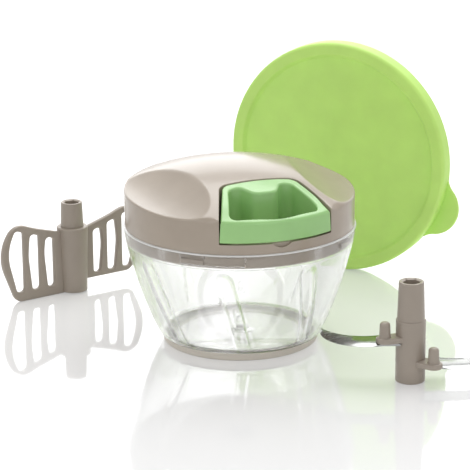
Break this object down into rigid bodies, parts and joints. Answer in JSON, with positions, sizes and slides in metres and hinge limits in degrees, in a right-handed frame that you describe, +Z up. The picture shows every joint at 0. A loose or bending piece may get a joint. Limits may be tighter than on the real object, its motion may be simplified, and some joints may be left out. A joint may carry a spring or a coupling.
{
  "type": "pull-cord food chopper",
  "caption": "Hand food chopper: clear fluted bowl, domed lid with a sprung cord reel and pull handle, with a blade insert, a mixing paddle and a storage lid set beside it.",
  "frame": {"origin": "centre of the foot ring's underside, on the table", "axes": "+Z up along the bowl's axis, the pull handle faces -Y"},
  "size_m": [0.2507, 0.255, 0.132],
  "materials": {
    "clear_plastic": "clear, polished",
    "taupe_plastic": "smooth gloss",
    "soft_taupe": "matt",
    "green_plastic": "smooth satin",
    "lime_plastic": "soft, flexible",
    "white_plastic": "moulded",
    "dark_plastic": "moulded",
    "steel": "polished",
    "cord": "braided"
  },
  "bodies": {
    "bowl": {"bowl": "clear_plastic", "foot_ring": "soft_taupe"},
    "lid": {"lid_cover": "taupe_plastic", "lid_base": "taupe_plastic", "lid_screws": "steel", "shaft_bush": "white_plastic", "return_spring": "steel", "spring_cover": "white_plastic", "cord_eyelet": "steel", "cord_lead": "cord"},
    "reel": {"cord_reel": "white_plastic", "cord_winding": "cord", "drive_shaft": "dark_plastic", "drive_screw": "steel", "reel_washer": "steel"},
    "handle": {"pull_handle": "green_plastic", "cord_tail": "cord", "cord_knot": "cord"},
    "blade_insert": {"blade_hub": "taupe_plastic", "upper_blade": "steel", "lower_blade": "steel"},
    "paddle_insert": {"paddle_hub": "taupe_plastic", "paddle_wings": "taupe_plastic"},
    "storage_lid": {"storage_lid": "lime_plastic"}
  },
  "joints": [
    {"name": "lid_lift", "type": "slide", "parent": "bowl", "child": "lid", "axis": [0, 0, 1], "range_m": [0, 0.12]},
    {"name": "handle_pull", "type": "slide", "parent": "lid", "child": "handle", "axis": [0, -1, 0], "range_m": [0, 0.3], "stiffness_N_per_m": 20, "springref_m": -0.2},
    {"name": "reel_turn", "type": "hinge", "parent": "lid", "child": "reel", "pos_m": [0, 0, 0.07], "axis": [0, 0, -1], "range_deg": [0, 1223]},
    {"name": "blade_turn", "type": "hinge", "parent": "bowl", "child": "blade_insert", "pos_m": [0.0534, -0.095, 0], "axis": [0, 0, 1], "continuous": true},
    {"name": "paddle_turn", "type": "hinge", "parent": "bowl", "child": "paddle_insert", "pos_m": [-0.0586, 0.108, 0], "axis": [0, 0, 1], "continuous": true},
    {"name": "storage_lid_lift", "type": "slide", "parent": "bowl", "child": "storage_lid", "axis": [0, 0, 1], "range_m": [0, 0.15]}
  ],
  "couplings": [
    {"joint": "reel_turn", "follows": "handle_pull", "rad_per_m": 71.108}
  ]
}
